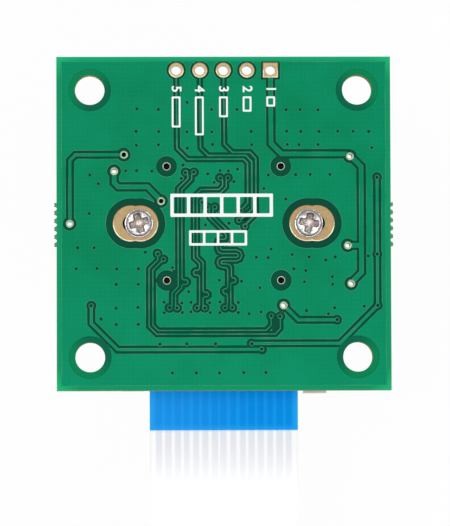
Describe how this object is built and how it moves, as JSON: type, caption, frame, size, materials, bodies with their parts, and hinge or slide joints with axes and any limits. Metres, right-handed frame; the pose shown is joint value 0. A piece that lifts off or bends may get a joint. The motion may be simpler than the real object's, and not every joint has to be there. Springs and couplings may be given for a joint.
{
  "type": "camera module",
  "caption": "Small square camera circuit board with a screw-in focusing lens on its front, a flat flexible cable in an edge connector and plated header holes.",
  "frame": {"origin": "on the floor under the optical axis: the front of the lens barrel stands on the floor and the back of the board faces up", "axes": "+Z from the front of the lens to the back of the board, +Y towards the header holes, the cable leaves towards -Y"},
  "size_m": [0.0364, 0.178, 0.0216],
  "materials": {
    "solder_mask": "green solder mask over glass fibre board",
    "gold_plating": "thin gold plating, satin",
    "screw_nickel": "bright nickel plating",
    "black_nylon": "matte black moulded plastic",
    "black_anodised": "black anodised aluminium",
    "coated_glass": "polished, coated glass",
    "filter_glass": "coated flat glass with a faint tint",
    "silicon": "dark polished silicon",
    "solder": "bright solder",
    "connector_plastic": "off-white moulded plastic",
    "cable_film": "white polyester film, smooth",
    "stiffener_blue": "blue polyester strip",
    "tin": "tin plating, satin",
    "black_epoxy": "moulded epoxy",
    "ceramic_beige": "fired ceramic",
    "ceramic_black": "glazed ceramic"
  },
  "bodies": {
    "module": {"circuit_board": "solder_mask", "header_pads": "gold_plating", "screw_pads": "gold_plating", "via_plating": "gold_plating", "locating_plating": "gold_plating", "holder_screws": "screw_nickel", "lens_holder": "black_nylon", "infrared_filter": "filter_glass", "sensor_balls": "solder", "sensor_die": "silicon", "sensor_glass": "coated_glass", "connector_housing": "connector_plastic", "connector_contacts": "tin", "connector_anchors": "tin", "flat_cable": "cable_film", "near_stiffener": "stiffener_blue", "far_stiffener": "stiffener_blue", "cable_contacts": "tin", "voltage_regulators": "black_epoxy", "regulator_legs": "tin", "crystal_base": "ceramic_black", "crystal_can": "tin", "capacitor_bodies": "ceramic_beige", "resistor_bodies": "ceramic_black", "chip_ends": "tin"},
    "lens_stack": {"front_lens": "coated_glass", "spacer_ring": "black_anodised", "middle_lens": "coated_glass", "aperture_stop": "black_anodised", "rear_lens": "coated_glass"},
    "barrel": {"lens_barrel": "black_anodised", "retaining_ring": "black_anodised"},
    "slide_lock": {"connector_slider": "connector_plastic"}
  },
  "joints": [
    {"name": "focus_slide", "type": "slide", "parent": "module", "child": "lens_stack", "axis": [0, 0, 1], "range_m": [0, 0.001]},
    {"name": "focus_turn", "type": "hinge", "parent": "lens_stack", "child": "barrel", "pos_m": [0, 0, 0.008], "axis": [0, 0, 1], "range_deg": [0, 720]},
    {"name": "lock_slide", "type": "slide", "parent": "module", "child": "slide_lock", "axis": [0, -1, 0], "range_m": [0, 0.001]}
  ],
  "couplings": [
    {"joint": "focus_turn", "follows": "focus_slide", "rad_per_m": 12566}
  ]
}
